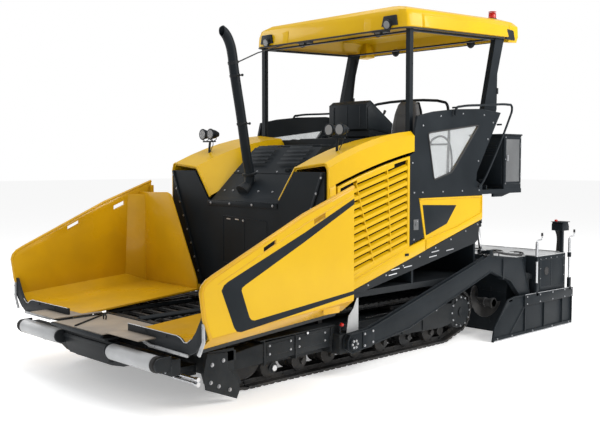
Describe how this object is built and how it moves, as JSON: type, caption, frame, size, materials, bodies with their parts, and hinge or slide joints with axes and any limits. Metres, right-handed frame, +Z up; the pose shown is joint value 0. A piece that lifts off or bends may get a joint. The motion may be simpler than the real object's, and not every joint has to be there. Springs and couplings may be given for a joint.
{
  "type": "asphalt paver",
  "caption": "Crawler asphalt paver with folding hopper wings, canopied operator platform, spreading auger and floating screed.",
  "frame": {"origin": "middle of the machine's box on the ground", "axes": "+Z up, +Y towards the rear (the screed), +X towards the machine's left"},
  "size_m": [3.26, 6.318, 3.85],
  "materials": {
    "yellow_panels": "glossy golden yellow paint",
    "black_paint": "satin slate black paint",
    "worn_steel": "worn dark steel",
    "bright_steel": "ground and plated",
    "white_rollers": "light grey painted rollers",
    "glass": "clear",
    "seat_fabric": "dark grey covered foam",
    "red_lens": "clear red lens",
    "rubber_sheet": "dusty rubber sheet"
  },
  "bodies": {
    "tractor": {"auger_gearbox": "black_paint", "beacon": "red_lens", "canopy_frame": "black_paint", "canopy_front_post_left": "black_paint", "canopy_front_post_right": "black_paint", "canopy_rear_post_left": "black_paint", "canopy_rear_post_right": "black_paint", "conveyor_left": "worn_steel", "conveyor_right": "worn_steel", "engine_block": "worn_steel", "exhaust": "black_paint", "front_wall": "black_paint", "main_frame": "black_paint", "platform_deck": "black_paint", "rear_side_panel_left": "yellow_panels", "rear_side_panel_right": "yellow_panels", "roof": "yellow_panels", "shoulder_left": "yellow_panels", "shoulder_right": "yellow_panels", "side_panel_left": "black_paint", "side_panel_right": "black_paint", "side_window_left": "glass", "side_window_right": "glass", "skirt_left": "black_paint", "skirt_right": "black_paint", "track_frame_left": "black_paint", "track_frame_right": "black_paint", "track_left": "worn_steel", "track_right": "worn_steel", "work_lamps_left": "black_paint", "work_lamps_right": "black_paint"},
    "apron": {"apron": "rubber_sheet"},
    "push_beam": {"push_beam": "black_paint"},
    "hood": {"hood": "black_paint"},
    "console": {"console": "black_paint"},
    "screed": {"screed_body": "black_paint", "tow_arm_left": "black_paint", "tow_arm_right": "black_paint"},
    "wing_left": {"wing_left": "yellow_panels"},
    "push_roller_left": {"push_roller_left": "white_rollers"},
    "louvre_door_left": {"louvre_door_left": "yellow_panels"},
    "seat_left": {"seat_cushion_left": "seat_fabric", "seat_back_left": "seat_fabric"},
    "extension_left": {"screed_extension_left": "black_paint"},
    "end_plate_left": {"end_plate_left": "black_paint"},
    "auger_left": {"auger_left": "worn_steel"},
    "lift_barrel_left": {"lift_barrel_left": "black_paint"},
    "lift_rod_left": {"lift_rod_left": "bright_steel"},
    "wing_right": {"wing_right": "yellow_panels"},
    "push_roller_right": {"push_roller_right": "white_rollers"},
    "louvre_door_right": {"louvre_door_right": "yellow_panels"},
    "seat_right": {"seat_cushion_right": "seat_fabric", "seat_back_right": "seat_fabric"},
    "extension_right": {"screed_extension_right": "black_paint"},
    "end_plate_right": {"end_plate_right": "black_paint"},
    "auger_right": {"auger_right": "worn_steel"},
    "lift_barrel_right": {"lift_barrel_right": "black_paint"},
    "lift_rod_right": {"lift_rod_right": "bright_steel"}
  },
  "joints": [
    {"name": "wing_left_fold", "type": "hinge", "parent": "tractor", "child": "wing_left", "pos_m": [0.5, -1.979, 0.6713], "axis": [0, -0.9972, -0.0748], "range_deg": [0, 45]},
    {"name": "wing_right_fold", "type": "hinge", "parent": "tractor", "child": "wing_right", "pos_m": [-0.5, -1.979, 0.6713], "axis": [0, 0.9972, 0.0748], "range_deg": [0, 45]},
    {"name": "apron_lift", "type": "hinge", "parent": "tractor", "child": "apron", "pos_m": [0, -2.534, 0.582], "axis": [-1, 0, 0], "range_deg": [0, 75]},
    {"name": "push_beam_swing", "type": "hinge", "parent": "tractor", "child": "push_beam", "pos_m": [0, -2.859, 0.4], "axis": [0, 0, 1], "range_deg": [-5, 5]},
    {"name": "push_roller_left_spin", "type": "hinge", "parent": "push_beam", "child": "push_roller_left", "pos_m": [0.8, -3.066, 0.4375], "axis": [1, 0, 0], "continuous": true},
    {"name": "push_roller_right_spin", "type": "hinge", "parent": "push_beam", "child": "push_roller_right", "pos_m": [-0.8, -3.066, 0.4375], "axis": [1, 0, 0], "continuous": true},
    {"name": "hood_open", "type": "hinge", "parent": "tractor", "child": "hood", "pos_m": [0, 0.071, 2.24], "axis": [-1, 0, 0], "range_deg": [0, 50]},
    {"name": "louvre_door_left_open", "type": "hinge", "parent": "tractor", "child": "louvre_door_left", "pos_m": [1.26, -1.079, 1.5], "axis": [0, 0, -1], "range_deg": [0, 90]},
    {"name": "louvre_door_right_open", "type": "hinge", "parent": "tractor", "child": "louvre_door_right", "pos_m": [-1.26, -1.079, 1.5], "axis": [0, 0, 1], "range_deg": [0, 90]},
    {"name": "console_slide", "type": "slide", "parent": "tractor", "child": "console", "axis": [1, 0, 0], "range_m": [-0.6, 0.4]},
    {"name": "seat_left_swivel", "type": "hinge", "parent": "tractor", "child": "seat_left", "pos_m": [0.42, 0.701, 2.09], "axis": [0, 0, 1], "range_deg": [-30, 30]},
    {"name": "seat_right_swivel", "type": "hinge", "parent": "tractor", "child": "seat_right", "pos_m": [-0.42, 0.701, 2.09], "axis": [0, 0, 1], "range_deg": [-30, 30]},
    {"name": "auger_left_spin", "type": "hinge", "parent": "tractor", "child": "auger_left", "pos_m": [0.6, 1.691, 0.4], "axis": [1, 0, 0], "continuous": true},
    {"name": "auger_right_spin", "type": "hinge", "parent": "tractor", "child": "auger_right", "pos_m": [-0.6, 1.691, 0.4], "axis": [1, 0, 0], "continuous": true},
    {"name": "screed_lift", "type": "hinge", "parent": "tractor", "child": "screed", "pos_m": [0, -0.909, 0.315], "axis": [1, 0, 0], "range_deg": [0, 6]},
    {"name": "extension_left_slide", "type": "slide", "parent": "screed", "child": "extension_left", "axis": [1, 0, 0], "range_m": [0, 1.2]},
    {"name": "extension_right_slide", "type": "slide", "parent": "screed", "child": "extension_right", "axis": [-1, 0, 0], "range_m": [0, 1.2]},
    {"name": "end_plate_left_height", "type": "slide", "parent": "extension_left", "child": "end_plate_left", "axis": [0, 0, 1], "range_m": [0, 0.12]},
    {"name": "end_plate_right_height", "type": "slide", "parent": "extension_right", "child": "end_plate_right", "axis": [0, 0, 1], "range_m": [0, 0.12]},
    {"name": "lift_barrel_left_swing", "type": "hinge", "parent": "tractor", "child": "lift_barrel_left", "pos_m": [1.17, 1.286, 1.62], "axis": [1, 0, 0], "range_deg": [-6.34, 0.01]},
    {"name": "lift_rod_left_slide", "type": "slide", "parent": "lift_barrel_left", "child": "lift_rod_left", "axis": [0, 0.1993, -0.9799], "range_m": [-0.2521, 0.001]},
    {"name": "lift_barrel_right_swing", "type": "hinge", "parent": "tractor", "child": "lift_barrel_right", "pos_m": [-1.17, 1.286, 1.62], "axis": [1, 0, 0], "range_deg": [-6.34, 0.01]},
    {"name": "lift_rod_right_slide", "type": "slide", "parent": "lift_barrel_right", "child": "lift_rod_right", "axis": [0, 0.1993, -0.9799], "range_m": [-0.2521, 0.001]}
  ],
  "couplings": [
    {"joint": "lift_barrel_left_swing", "follows": "screed_lift", "ratio": -1.0346},
    {"joint": "lift_rod_left_slide", "follows": "screed_lift", "m_per_rad": -2.3744},
    {"joint": "lift_barrel_right_swing", "follows": "screed_lift", "ratio": -1.0346},
    {"joint": "lift_rod_right_slide", "follows": "screed_lift", "m_per_rad": -2.3744}
  ]
}
